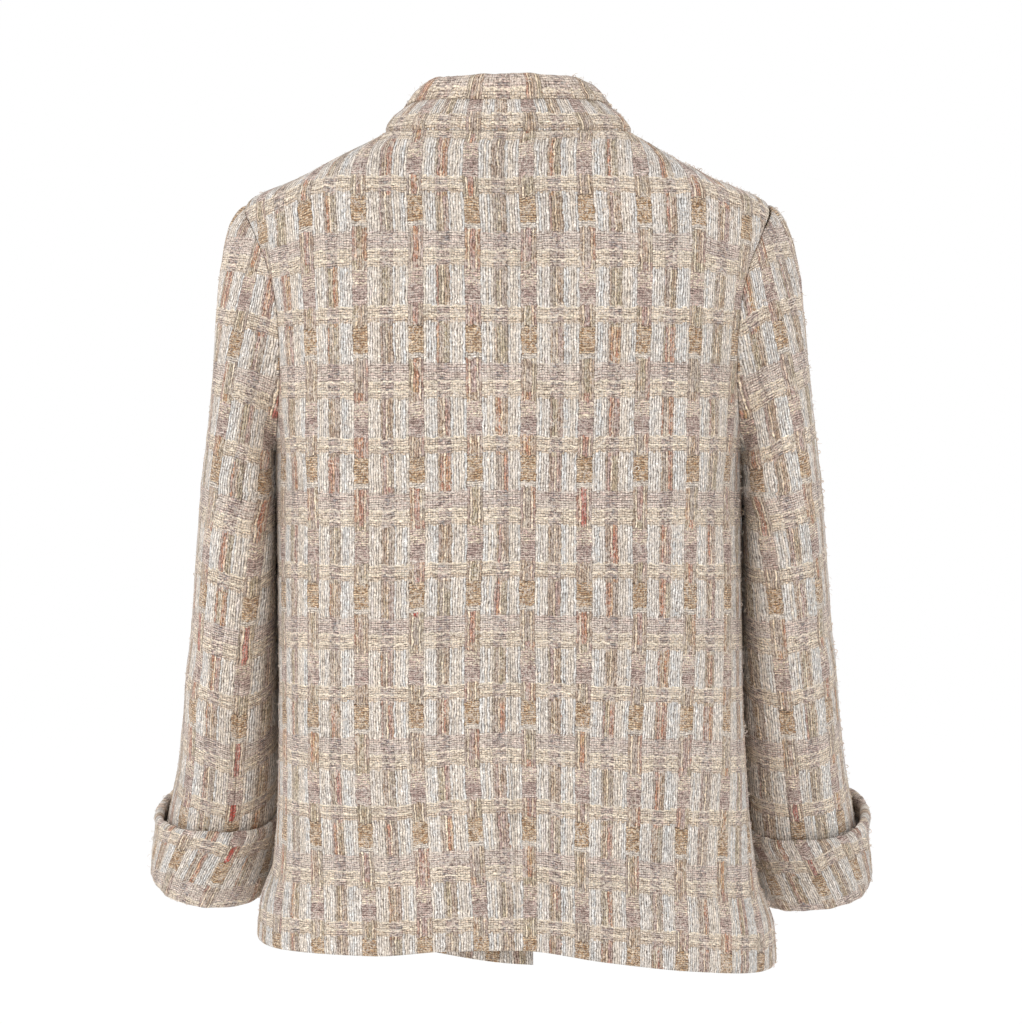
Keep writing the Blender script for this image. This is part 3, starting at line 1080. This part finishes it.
def tweed_weave():
    """The checked boucle weave: colour and yarn height read from the chart."""
    tree, given, made = group_with(
        "tweed weave",
        (("Chart", "NodeSocketVector", None), ("Warps", "NodeSocketFloat", WARPS), ("Wefts", "NodeSocketFloat", WEFTS),
         ("Wander", "NodeSocketFloat", 1.0), ("Depth", "NodeSocketFloat", 1.0),
         ("Slub", "NodeSocketFloat", 0.0), ("Slub Hue", "NodeSocketFloat", 0.0)),
        (("Colour", "NodeSocketColor"), ("Height", "NodeSocketFloat")))
    w = Wiring(tree)
    m = w.math
    chart, warps, wefts, wander, depth, slub, hue = (given.outputs[k] for k in range(7))
    split = w.add("ShaderNodeSeparateXYZ", Vector=chart).outputs
    # yarns wander from their lines, the loose white ones most
    swayed = w.vector(m("MULTIPLY", split[0], 9.0), m("MULTIPLY", split[1], 11.0))
    sway = m("SUBTRACT", w.noise(swayed, 1.0, 3.0, 0.62), 0.5)
    dipped = w.vector(m("MULTIPLY", split[0], 7.0), m("MULTIPLY", split[1], 6.0), 7.3)
    dip = m("SUBTRACT", w.noise(dipped, 1.0, 3.0, 0.6), 0.5)
    u = m("ADD", split[0], m("DIVIDE", m("MULTIPLY", sway, m("MULTIPLY", wander, 1.7)), warps))
    v = m("ADD", split[1], m("DIVIDE", m("MULTIPLY", dip, m("MULTIPLY", wander, 1.5)), wefts))
    warp_place, weft_place = m("MULTIPLY", u, warps), m("MULTIPLY", v, wefts)
    warp, weft = m("FLOOR", warp_place), m("FLOOR", weft_place)
    column, level = m("FLOOR", u), m("FLOOR", m("MULTIPLY", v, 2.0))
    # each float ends a little early or late
    late = m("MULTIPLY", m("SUBTRACT", w.chance(warp, level), 0.5), 0.020)
    early = m("MULTIPLY", m("SUBTRACT", w.chance(weft, m("FLOOR", m("MULTIPLY", u, 4.0)), 5.0), 0.5), 0.018)
    fu, fv, plain_u = m("FRACT", m("ADD", u, early)), m("FRACT", m("ADD", v, late)), m("FRACT", u)
    # round section of a yarn: 1 on its top and 0 between two yarns
    across_warp = m("SUBTRACT", m("MULTIPLY", m("FRACT", warp_place), 2.0), 1.0)
    across_weft = m("SUBTRACT", m("MULTIPLY", m("FRACT", weft_place), 2.0), 1.0)
    warp_round = m("SUBTRACT", 1.0, m("POWER", m("ABSOLUTE", across_warp), 1.7))
    weft_round = m("SUBTRACT", 1.0, m("POWER", m("ABSOLUTE", across_weft), 1.7))
    speck = w.noise(w.vector(m("MULTIPLY", warp_place, 1.25), m("MULTIPLY", weft_place, 1.1), 5.0), 1.0, 2.0, 0.75)
    # which kind of column this is
    accent = w.ramp(fu, ((0.0, 1.0), (0.268, 0.0), (1.0, 0.0)))
    stripe = w.ramp(fu, ((0.0, 0.0), (0.535, 1.0), (0.765, 0.0)))
    ground = m("SUBTRACT", 1.0, accent)
    # white warps: each its own white, changing slowly along it
    drift = w.noise(w.vector(m("MULTIPLY", warp, 3.7), m("MULTIPLY", v, 9.0), 1.7), 1.0, 2.0, 0.6)
    whites = w.ramp(m("ADD", m("MULTIPLY", w.chance(warp, 3.0), 0.62), m("MULTIPLY", drift, 0.42)),
                    ((0.0, GREY), (0.2, WHITE), (0.36, ICE), (0.52, WHITE), (0.66, SHELL), (0.8, WHITE),
                     (0.94, LILAC)), False)
    # coloured warps: two or three shades in a stripe, speckled light and dark
    tone = w.chance(m("FLOOR", m("MULTIPLY", warp, 0.5)), m("FLOOR", m("ADD", m("MULTIPLY", v, 2.0), 0.55)), 2.0)
    dyed = w.ramp(m("ADD", m("MULTIPLY", tone, 0.72), m("MULTIPLY", drift, 0.36)),
                  ((0.0, OLIVE), (0.18, BROWN), (0.34, TAUPE), (0.48, OLIVE), (0.6, BROWN), (0.72, MAUVE),
                   (0.84, RUST), (0.93, AMBER)), False)
    dyed = w.mix(w.range(speck, 0.30, 0.46, 0.75, 0.0), dyed, (*UMBER, 1.0))
    dyed = w.mix(w.range(speck, 0.56, 0.72, 0.0, 0.7), dyed, (*SAND, 1.0))
    side_yarn = w.ramp(plain_u, ((0.0, 0.25), (0.046, 0.0), (0.226, 0.3), (0.273, 0.0), (0.53, 0.2), (0.588, 0.0),
                                 (0.72, 0.25), (0.773, 0.0)))
    coloured = w.mix(side_yarn, dyed, w.mix(m("MULTIPLY", speck, 0.9), (*TAUPE, 1.0), (*UMBER, 1.0)))
    red = w.mix(hue, (*RED, 1.0), (*WINE, 1.0))
    red = w.mix(w.range(speck, 0.34, 0.5, 0.6, 0.0), red, (*UMBER, 1.0))
    slub_yarns = w.ramp(plain_u, ((0.0, 0.0), (0.091, 1.0), (0.182, 0.0), (0.545, 0.5), (0.60, 1.0), (0.682, 0.0),
                                  (0.727, 0.2), (0.75, 0.0)))
    coloured = w.mix(m("MULTIPLY", slub, slub_yarns), coloured, red)
    line = w.ramp(plain_u, ((0.0, 0.0), (0.052, 1.0), (0.078, 0.0), (0.190, 1.0), (0.216, 0.0), (0.545, 0.4),
                            (0.562, 0.0), (0.640, 1.0), (0.665, 0.0)))
    shown = m("MULTIPLY", w.range(w.chance(column, level, 9.0), 0.0, 0.35, 0.3, 0.95),
              w.range(speck, 0.34, 0.52, 0.3, 1.0))
    line_colour = w.mix(w.chance(column, level, 4.0), (*CREAM, 1.0), (*PEACH, 1.0))
    coloured = w.mix(m("MULTIPLY", line, shown), coloured, line_colour)
    warp_colour = w.mix(m("MAXIMUM", accent, stripe), whites, coloured)
    # wefts of the ground: pink band, tan bands between cream cords
    band = w.ramp(fv, ((0.0, PINK), (0.150, TAN), (0.272, SHELL), (0.575, TAN), (0.648, PEACH), (0.695, SHELL)))
    tint = w.ramp(w.chance(weft, m("FLOOR", m("MULTIPLY", u, 1.3)), 11.0),
                  ((0.0, LILAC), (0.3, SHELL), (0.55, PINK), (0.8, ROSE), (1.0, SHELL)), False)
    band = w.mix(w.ramp(fv, ((0.0, 0.62), (0.140, 0.2))), band, tint)
    cord = w.ramp(fv, ((0.0, 0.0), (0.131, 0.0), (0.1445, 1.0), (0.158, 0.0), (0.201, 0.0), (0.2145, 1.0), (0.228, 0.0),
                       (0.561, 0.0), (0.5745, 1.0), (0.588, 0.0), (0.631, 0.0), (0.6445, 1.0), (0.658, 0.0)), False)
    cord = m("MULTIPLY", w.range(cord, 0.12, 0.62, smooth=True), ground)
    # wefts over an accent column: cream loops, mauve, a pale line, ochre ribs, white
    accent_weft = w.ramp(fv, ((0.0, PINK), (0.272, ROSE), (0.42, PLUM), (0.520, ROSE), (0.565, TAN),
                              (0.712, UMBER), (0.730, OCHRE), (0.925, SHELL), (0.978, SHELL)))
    curl = w.noise(w.vector(m("MULTIPLY", warp_place, 0.62), m("MULTIPLY", weft_place, 0.5), 4.0), 1.0, 1.0, 0.5)
    ribs = m("SINE", m("ADD", m("MULTIPLY", weft_place, 2.6), m("MULTIPLY", curl, 17.0)))
    rib = w.range(ribs, -0.35, 0.75, smooth=True)
    rib_colour = w.ramp(fv, ((0.0, CREAM), (0.42, PINK), (0.520, WHITE), (0.712, HONEY), (0.925, WHITE)))
    rib_strength = w.ramp(fv, ((0.0, 0.3), (0.272, 0.92), (0.42, 0.45), (0.520, 0.5), (0.712, 0.85), (0.925, 0.9)))
    accent_weft = w.mix(m("MULTIPLY", rib, rib_strength), accent_weft, rib_colour)
    accent_weft = w.mix(w.range(speck, 0.28, 0.45, 0.6, 0.0), accent_weft, (*UMBER, 1.0))
    # where a brown stripe crosses a band: short dashes, slate and pale
    dash = w.noise(w.vector(m("MULTIPLY", warp_place, 0.42), m("MULTIPLY", weft_place, 0.95), 9.0), 1.0, 2.0, 0.6)
    dashes = w.ramp(dash, ((0.0, SLATE), (0.40, SLATE), (0.47, MAUVE), (0.53, ROSE), (0.60, SHELL), (1.0, WHITE)),
                    False)
    band = w.mix(m("MULTIPLY", stripe, 0.85), band, dashes)
    weft_colour = w.mix(accent, band, accent_weft)
    weft_colour = w.mix(m("MULTIPLY", cord, w.range(stripe, 0.0, 1.0, 1.0, 0.6)), weft_colour, (*CORD, 1.0))
    # where the warp lies on top
    floats = w.ramp(fv, ((0.0, 0.0), (0.267, 1.0), (0.570, 0.0), (0.695, 1.0)))
    accent_floats = w.ramp(fv, ((0.0, 1.0), (0.29, 0.0), (0.562, 1.0), (0.718, 0.0), (0.968, 1.0)))
    over = m("GREATER_THAN", m("FRACT", m("MULTIPLY", m("ADD", warp, weft), 0.5)), 0.25)
    crossing = m("MULTIPLY", m("MULTIPLY", over, 0.30), m("SUBTRACT", 1.0, m("MAXIMUM", cord, stripe)))
    top = m("ADD", m("MULTIPLY", m("MAXIMUM", floats, crossing), ground), m("MULTIPLY", accent_floats, accent))
    under = m("SUBTRACT", 1.0, top)
    colour = w.mix(top, weft_colour, warp_colour)
    # light and shade on each yarn: its round section, its twist, and deep hollows here and there between yarns
    along_warp = w.noise(w.vector(m("MULTIPLY", warp_place, 1.6), m("MULTIPLY", weft_place, 0.36)), 1.0, 3.0, 0.65)
    along_weft = w.noise(w.vector(m("MULTIPLY", warp_place, 0.36), m("MULTIPLY", weft_place, 1.6), 3.0), 1.0, 3.0, 0.65)
    band_round = m("MULTIPLY", weft_round, m("ADD", m("MULTIPLY", warp_round, 0.6), 0.4))
    section = m("ADD", m("MULTIPLY", warp_round, top), m("MULTIPLY", band_round, under))
    section = m("MAXIMUM", section, m("MULTIPLY", cord, 0.9))
    streak = m("ADD", m("MULTIPLY", along_warp, top), m("MULTIPLY", along_weft, under))
    patchy = m("ADD", m("MULTIPLY", streak, 0.65), m("MULTIPLY", speck, 0.35))
    hollow = m("MULTIPLY", w.range(section, 0.05, 0.92, 1.0, 0.0, smooth=True),
               w.range(patchy, 0.42, 0.62, 1.0, 0.14))
    hollow = m("MAXIMUM", hollow, w.range(speck, 0.40, 0.27, 0.0, 0.9))
    hollow = m("MULTIPLY", hollow, w.range(accent, 0.0, 1.0, 0.95, 0.80))
    lit = m("MULTIPLY", w.range(streak, 0.34, 0.66, 0.56, 1.36), w.range(speck, 0.32, 0.68, 0.68, 1.30))
    lit = m("MULTIPLY", lit, w.range(drift, 0.3, 0.7, 0.88, 1.06))
    lit = m("MULTIPLY", lit, w.range(section, 0.0, 1.0, 0.80, 1.09))
    grey = w.add("ShaderNodeCombineColor", Red=lit, Green=lit, Blue=lit).outputs[0]
    colour = w.mix(1.0, colour, grey, "MULTIPLY")
    colour = w.mix(m("MULTIPLY", hollow, depth), colour, (*GAP, 1.0))
    # stray fibres lie across the yarns, pale and dark, thicker in some places than in others
    for start, scale, fibre, strength in STRAY_FIBRES:
        strewn = w.vector(m("MULTIPLY", split[0], scale * 1.25), m("MULTIPLY", split[1], scale * 2.1), start)
        field = w.noise(strewn, 1.0, 2.0, 0.6, 0.9)
        near = m("ABSOLUTE", m("SUBTRACT", field, 0.5))
        patch = w.noise(w.vector(split[0], m("MULTIPLY", split[1], 2.0), start + 5.0), 2.6, 1.0)
        lies = m("MULTIPLY", w.range(near, 0.012, 0.034, 1.0, 0.0), w.range(patch, 0.36, 0.62, 0.25, 1.0))
        colour = w.mix(m("MULTIPLY", lies, strength), colour, (*fibre, 1.0))
    height = m("ADD", m("ADD", m("MULTIPLY", section, 0.6), m("MULTIPLY", cord, 0.4)),
               m("ADD", m("MULTIPLY", streak, 0.6), m("MULTIPLY", accent, m("MULTIPLY", top, 0.25))))
    tree.links.new(colour, made.inputs["Colour"])
    tree.links.new(height, made.inputs["Height"])
    return tree


def woven_cloth(name, weave, tint, bump):
    """Tweed: the weave's colour and yarn relief, matt, with the soft shine of loose fibres."""
    material = bpy.data.materials.new(name)
    material.use_nodes = True
    w = Wiring(material.node_tree)
    shader = material.node_tree.nodes["Principled BSDF"]
    uv = w.add("ShaderNodeUVMap", {"uv_map": "chart"}).outputs[0]
    slub = w.add("ShaderNodeAttribute", {"attribute_name": "slub"}).outputs
    laid = w.tree.nodes.new("ShaderNodeGroup")
    laid.node_tree = weave
    w.give(laid.inputs["Chart"], uv)
    w.give(laid.inputs["Slub"], w.add("ShaderNodeSeparateColor", Color=slub["Color"]).outputs[0])
    w.give(laid.inputs["Slub Hue"], w.add("ShaderNodeSeparateColor", Color=slub["Color"]).outputs[1])
    colour = w.mix(1.0, laid.outputs["Colour"], (*tint, 1.0), "MULTIPLY")
    # slow change of tone from wear and handling
    place = w.add("ShaderNodeTexCoord").outputs["Object"]
    slow = w.range(w.noise(place, 14.0, 3.0), 0.3, 0.7, 0.95, 1.05)
    grey = w.add("ShaderNodeCombineColor", Red=slow, Green=slow, Blue=slow).outputs[0]
    colour = w.mix(1.0, colour, grey, "MULTIPLY")
    relief = w.add("ShaderNodeBump", Strength=bump, Distance=0.0011, Height=laid.outputs["Height"])
    w.give(shader.inputs["Base Color"], colour)
    w.give(shader.inputs["Normal"], relief.outputs[0])
    shader.inputs["Roughness"].default_value = 0.9
    shader.inputs["Specular IOR Level"].default_value = 0.18
    shader.inputs["Sheen Weight"].default_value = 0.16
    shader.inputs["Sheen Roughness"].default_value = 0.55
    shader.inputs["Sheen Tint"].default_value = (1.0, 0.95, 0.9, 1.0)
    return material


def loose_fibre(name, colours):
    """Fibres and loops that stand off the cloth, each with its own shade."""
    material = bpy.data.materials.new(name)
    material.use_nodes = True
    w = Wiring(material.node_tree)
    shader = material.node_tree.nodes["Principled BSDF"]
    shade = w.add("ShaderNodeAttribute", {"attribute_name": "shade"}).outputs["Fac"]
    w.give(shader.inputs["Base Color"], w.ramp(shade, colours, False))
    shader.inputs["Roughness"].default_value = 0.95
    shader.inputs["Specular IOR Level"].default_value = 0.1
    shader.inputs["Sheen Weight"].default_value = 0.1
    return material


# ---- loose fibres and loops, grown on the cloth's outer faces ----
class GrowthWiring(Wiring):
    """The same short hand, with what the trees for fibres and loops need."""

    def even(self, value):
        return self.vector(value, value, value)

    def pick(self, kind, low, high, seed, which):
        """A random number or vector for each point."""
        node = self.add("FunctionNodeRandomValue", {"data_type": kind})
        first, second = [s for s in node.inputs if s.enabled and s.name in ("Min", "Max")]
        self.give(first, low)
        self.give(second, high)
        self.give(node.inputs["Seed"], self.math("ADD", seed, float(which)))
        return [s for s in node.outputs if s.enabled][0]


def growing_ground(name, parts):
    """One light mesh of the outer faces, for fibres and loops to grow on."""
    points, faces = [], []
    for grid in parts:
        rows, cols = grid.shape[:2]
        base = sum(len(p) for p in points)
        i, j = np.meshgrid(np.arange(rows - 1), np.arange(cols - 1), indexing="ij")
        face = np.stack((i * cols + j, i * cols + j + 1, (i + 1) * cols + j + 1, (i + 1) * cols + j), axis=-1)
        points.append(grid.reshape(-1, 3))
        faces += [tuple(f) for f in (face.reshape(-1, 4) + base).tolist()]
    mesh = bpy.data.meshes.new(name)
    mesh.from_pydata(np.concatenate(points).tolist(), [], faces)
    item = bpy.data.objects.new(name, mesh)
    bpy.context.scene.collection.objects.link(item)
    return item


def fibre_tree(name, looped):
    """Curved strands set at random over a surface; looped ones come back to the cloth."""
    tree = bpy.data.node_groups.new(name, "GeometryNodeTree")
    tree.interface.new_socket("Geometry", in_out="INPUT", socket_type="NodeSocketGeometry")
    for label, kind, value in (("Per Square Metre", "NodeSocketFloat", 1000.0), ("Reach", "NodeSocketFloat", 0.003),
                               ("Thickness", "NodeSocketFloat", 0.0002), ("Lean", "NodeSocketFloat", 1.0),
                               ("Seed", "NodeSocketInt", 1), ("Finish", "NodeSocketMaterial", None)):
        socket = tree.interface.new_socket(label, in_out="INPUT", socket_type=kind)
        if value is not None:
            socket.default_value = value
    tree.interface.new_socket("Geometry", in_out="OUTPUT", socket_type="NodeSocketGeometry")
    given, made = tree.nodes.new("NodeGroupInput"), tree.nodes.new("NodeGroupOutput")
    w = GrowthWiring(tree)
    ground, density, reach, thick, lean, seed, finish = (given.outputs[k] for k in range(7))
    spread = w.add("GeometryNodeDistributePointsOnFaces", {"distribute_method": "RANDOM"}, Mesh=ground,
                   Density=density, Seed=seed)
    if looped:
        strand = w.add("GeometryNodeCurveArc", {"mode": "RADIUS"}, Resolution=8, Radius=0.5,
                       Start_Angle=math.radians(-50.0), Sweep_Angle=math.radians(280.0)).outputs[0]
        strand = w.add("GeometryNodeTransform", Geometry=strand, Rotation=(math.radians(90.0), 0.0, 0.0),
                       Translation=(0.0, 0.0, 0.25)).outputs[0]
    else:
        strand = w.add("GeometryNodeCurveQuadraticBezier", Resolution=4, Start=(0.0, 0.0, -0.1),
                       Middle=(0.1, 0.0, 0.75), End=(0.85, 0.25, 0.6)).outputs[0]
    section = w.add("GeometryNodeCurvePrimitiveCircle", {"mode": "RADIUS"}, Resolution=3, Radius=1.0).outputs[0]
    thin = w.add("GeometryNodeTransform", Geometry=section, Scale=w.even(w.math("DIVIDE", thick, reach))).outputs[0]
    fibre_mesh = w.add("GeometryNodeCurveToMesh", Curve=strand, Profile_Curve=thin).outputs[0]
    spin = w.pick("FLOAT_VECTOR", (-1.0, -1.0, 0.0), (1.0, 1.0, 6.283), seed, 3)
    tilt = w.add("ShaderNodeVectorMath", {"operation": "MULTIPLY"})
    w.give(tilt.inputs[0], spin)
    w.give(tilt.inputs[1], w.vector(lean, lean, 1.0))
    turned = w.add("FunctionNodeRotateRotation", {"rotation_space": "LOCAL"})
    w.give(turned.inputs[0], spread.outputs["Rotation"])
    w.give(turned.inputs[1], w.add("FunctionNodeEulerToRotation", Euler=tilt.outputs[0]).outputs[0])
    size = w.math("MULTIPLY", reach, w.pick("FLOAT", 0.45, 1.35, seed, 5))
    placed = w.add("GeometryNodeInstanceOnPoints", Points=spread.outputs["Points"], Instance=fibre_mesh,
                   Rotation=turned.outputs[0], Scale=w.even(size))
    shaded = w.add("GeometryNodeStoreNamedAttribute", {"data_type": "FLOAT", "domain": "INSTANCE"})
    w.give(shaded.inputs["Geometry"], placed.outputs[0])
    w.give(shaded.inputs["Name"], "shade")
    w.give([s for s in shaded.inputs if s.name == "Value" and s.enabled][0], w.pick("FLOAT", 0.0, 1.0, seed, 9))
    real = w.add("GeometryNodeRealizeInstances", Geometry=shaded.outputs[0])
    painted = w.add("GeometryNodeSetMaterial", Geometry=real.outputs[0], Material=finish)
    tree.links.new(painted.outputs[0], made.inputs[0])
    return tree


def grow(name, tree, ground, values):
    """Runs a growth tree over the ground and keeps the result as a plain mesh."""
    maker = ground.modifiers.new(name, "NODES")
    maker.node_group = tree
    for item in tree.interface.items_tree:
        if item.item_type == "SOCKET" and item.in_out == "INPUT" and item.name in values:
            maker[item.identifier] = values[item.name]
    bpy.context.view_layer.update()
    ready = ground.evaluated_get(bpy.context.evaluated_depsgraph_get())
    mesh = bpy.data.meshes.new_from_object(ready)
    ground.modifiers.remove(maker)
    mesh.name = name
    mesh.shade_smooth()
    item = bpy.data.objects.new(name, mesh)
    bpy.context.scene.collection.objects.link(item)
    return item


# Bright slubs in single floats, by piece: repeat across, level in repeats where it starts and ends,
# strength, 0 red to 1 wine
SLUBS = {
    "back_left": ((1.0, 2.27, 2.56, 0.7, 0.2), (1.0, 2.70, 2.99, 1.0, 0.0), (2.0, 1.95, 2.26, 0.5, 0.5),
                  (1.4, 1.95, 2.25, 0.6, 0.7), (0.4, 3.7, 3.98, 0.5, 0.6), (2.4, 4.27, 4.55, 0.4, 0.5)),
    "back_right": ((-1.0, 1.98, 2.27, 0.7, 0.1), (-1.5, 2.3, 2.56, 0.5, 0.4), (-3.4, 3.3, 3.55, 0.5, 0.5),
                   (-2.4, 5.72, 5.98, 0.7, 0.8), (-0.4, 5.25, 5.5, 0.4, 0.4)),
    "sleeve_upper_left": ((0.0, 1.97, 2.3, 0.7, 0.4), (0.0, 2.97, 3.3, 0.4, 0.3), (0.0, 3.97, 4.3, 0.8, 0.6),
                          (0.0, 4.97, 5.3, 0.7, 0.3), (0.0, 5.4, 5.8, 1.0, 0.0), (1.0, 3.97, 4.3, 0.7, 0.4)),
    "sleeve_under_left": ((0.0, 1.97, 2.3, 0.7, 0.4), (0.0, 2.97, 3.3, 0.4, 0.3), (0.0, 3.97, 4.3, 0.8, 0.6),
                          (0.0, 4.97, 5.3, 0.7, 0.3), (0.0, 5.4, 5.8, 1.0, 0.0)),
    "sleeve_upper_right": ((0.0, 2.97, 3.3, 0.4, 0.3), (0.0, 5.4, 5.75, 0.7, 0.5)),
    "sleeve_under_right": ((0.0, 2.97, 3.3, 0.4, 0.3), (0.0, 5.4, 5.75, 0.7, 0.5)),
    "cuff_left": ((0.0, 5.55, 5.8, 1.0, 0.1), (0.0, 5.1, 5.5, 0.6, 0.6), (-1.0, 5.1, 5.5, 0.5, 0.5)),
    "cuff_right": ((0.0, 5.3, 5.75, 0.5, 0.6),),
}


def paint_slubs(item):
    """Writes the slubs onto the mesh as a colour: red for how strong it is, green for its hue."""
    mesh = item.data
    layer = mesh.color_attributes.new("slub", "FLOAT_COLOR", "POINT")
    colour = np.zeros((len(mesh.vertices), 4), dtype=np.float32)
    colour[:, 3] = 1.0
    corner = np.empty(len(mesh.loops), dtype=np.int32)
    mesh.loops.foreach_get("vertex_index", corner)
    uv = np.empty(len(mesh.loops) * 2, dtype=np.float32)
    mesh.uv_layers["chart"].data.foreach_get("uv", uv)
    place = np.zeros((len(mesh.vertices), 2), dtype=np.float32)
    place[corner] = uv.reshape(-1, 2)
    own = OWN_YARNS[item.name[:-6]]
    u, v = place[:, 0] - own, place[:, 1] - own / 6
    for across, start, end, strength, hue in SLUBS.get(item.name[:-6], ()):
        inside = (np.abs(u - (across + 0.13)) < 0.17) & (v > start) & (v < end)
        colour[inside, 0], colour[inside, 1] = strength, hue
    layer.data.foreach_set("color", colour.ravel())


# ---- the jacket ----
pieces = []
for side, word in ((1, "left"), (-1, "right")):
    pieces.append((make_panel("back_" + word, side, True, SEAM), "tweed_light"))
    pieces.append((make_panel("front_" + word, side, False, FRONT_GAP), "tweed_warm"))
    pieces.append((make_sleeve("sleeve_upper_" + word, side, FRONT_SEAM - 360.0, BACK_SEAM, True), "tweed_light"))
    pieces.append((make_sleeve("sleeve_under_" + word, side, BACK_SEAM, FRONT_SEAM, False), "tweed_warm"))
    pieces.append((make_cuff("cuff_" + word, side), "tweed_light"))
pieces.append((make_collar_stand("collar_stand"), "tweed_light"))
pieces.append((make_collar_fall("collar_fall"), "tweed_warm"))

weave = tweed_weave()
cloths = {"tweed_light": woven_cloth("tweed light", weave, (1.0, 1.0, 1.0), 0.8),
          "tweed_warm": woven_cloth("tweed warm", weave, (1.0, 0.985, 0.965), 0.8)}
for item, cloth in pieces:
    item.data.materials.append(cloths[cloth])
    paint_slubs(item)

ground = growing_ground("cloth ground", surfaces)
hair = fibre_tree("loose fibres", False)
loops = fibre_tree("boucle loops", True)
fuzz_finish = loose_fibre("loose fibre", ((0.0, WHITE), (0.5, SHELL), (0.75, PINK), (0.9, TAN), (1.0, BROWN)))
loop_finish = loose_fibre("boucle loop", ((0.0, WHITE), (0.5, SHELL), (0.75, PINK), (1.0, TAN)))
fuzz = grow("loose_fibres", hair, ground, {"Per Square Metre": 8200.0, "Reach": 0.0029, "Thickness": 0.00010,
                                           "Lean": 1.3, "Seed": 4, "Finish": fuzz_finish})
curls = grow("boucle_loops", loops, ground, {"Per Square Metre": 4600.0, "Reach": 0.0023, "Thickness": 0.00026,
                                             "Lean": 1.1, "Seed": 9, "Finish": loop_finish})
bpy.data.objects.remove(ground)

# ---- floor, light and camera ----
floor_mesh = bpy.data.meshes.new("floor")
floor_mesh.from_pydata([(-60, -60, -1.0), (60, -60, -1.0), (60, 60, -1.0), (-60, 60, -1.0)], [], [(0, 1, 2, 3)])
floor = bpy.data.objects.new("floor", floor_mesh)
bpy.context.scene.collection.objects.link(floor)
paper = bpy.data.materials.new("pale floor")
paper.use_nodes = True
paper.node_tree.nodes["Principled BSDF"].inputs["Base Color"].default_value = (1.0, 1.0, 1.0, 1.0)
paper.node_tree.nodes["Principled BSDF"].inputs["Roughness"].default_value = 1.0
paper.node_tree.nodes["Principled BSDF"].inputs["Specular IOR Level"].default_value = 0.0
floor_mesh.materials.append(paper)

world = bpy.data.worlds.new("studio")
world.use_nodes = True
world.node_tree.nodes["Background"].inputs["Color"].default_value = (1.0, 1.0, 1.0, 1.0)
world.node_tree.nodes["Background"].inputs["Strength"].default_value = 1.0
bpy.context.scene.world = world


def soft_light(name, place, aim, size, power):
    lamp = bpy.data.lights.new(name, "AREA")
    lamp.shape, lamp.size, lamp.energy = "SQUARE", size, power
    item = bpy.data.objects.new(name, lamp)
    bpy.context.scene.collection.objects.link(item)
    item.location = place
    away = np.array(place) - np.array(aim)
    item.rotation_euler = (math.atan2(math.hypot(away[0], away[1]), away[2]), 0.0,
                           math.atan2(away[0], -away[1]))


soft_light("key light", (2.5, 2.4, 0.5), (0.0, 0.0, -0.3), 1.8, 27.0)
soft_light("fill light", (-2.2, 2.2, 0.1), (0.0, 0.0, -0.3), 1.8, 7.0)

lens = bpy.data.cameras.new("camera")
lens.sensor_fit, lens.sensor_width = "HORIZONTAL", 36.0
lens.lens = 36.0 * 2.9 / 0.7665
camera = bpy.data.objects.new("camera", lens)
bpy.context.scene.collection.objects.link(camera)
camera.location = (-0.0019, 2.9, -0.284)
camera.rotation_euler = (math.radians(90.0), 0.0, math.radians(180.0))
bpy.context.scene.camera = camera
bpy.context.scene.view_settings.view_transform = "Standard"

# ---- what rides on the part, and the cut of each piece of cloth ----
# name: width and length it was cut to (m), share of that rectangle that the piece fills, what it is sewn to
for item, cloth in pieces:
    node = item.name[:-6]
    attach(item, "root")
    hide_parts(node)
    word = node.rsplit("_", 1)[1]
for item in (fuzz, curls):
    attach(item, "root")
floor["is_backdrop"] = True


def plain(value):
    return [[float(x) for x in row] for row in value] if hasattr(value[0], "__len__") else [float(x) for x in value]


{"cad": plain(cad_box), "scene": plain(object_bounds())}
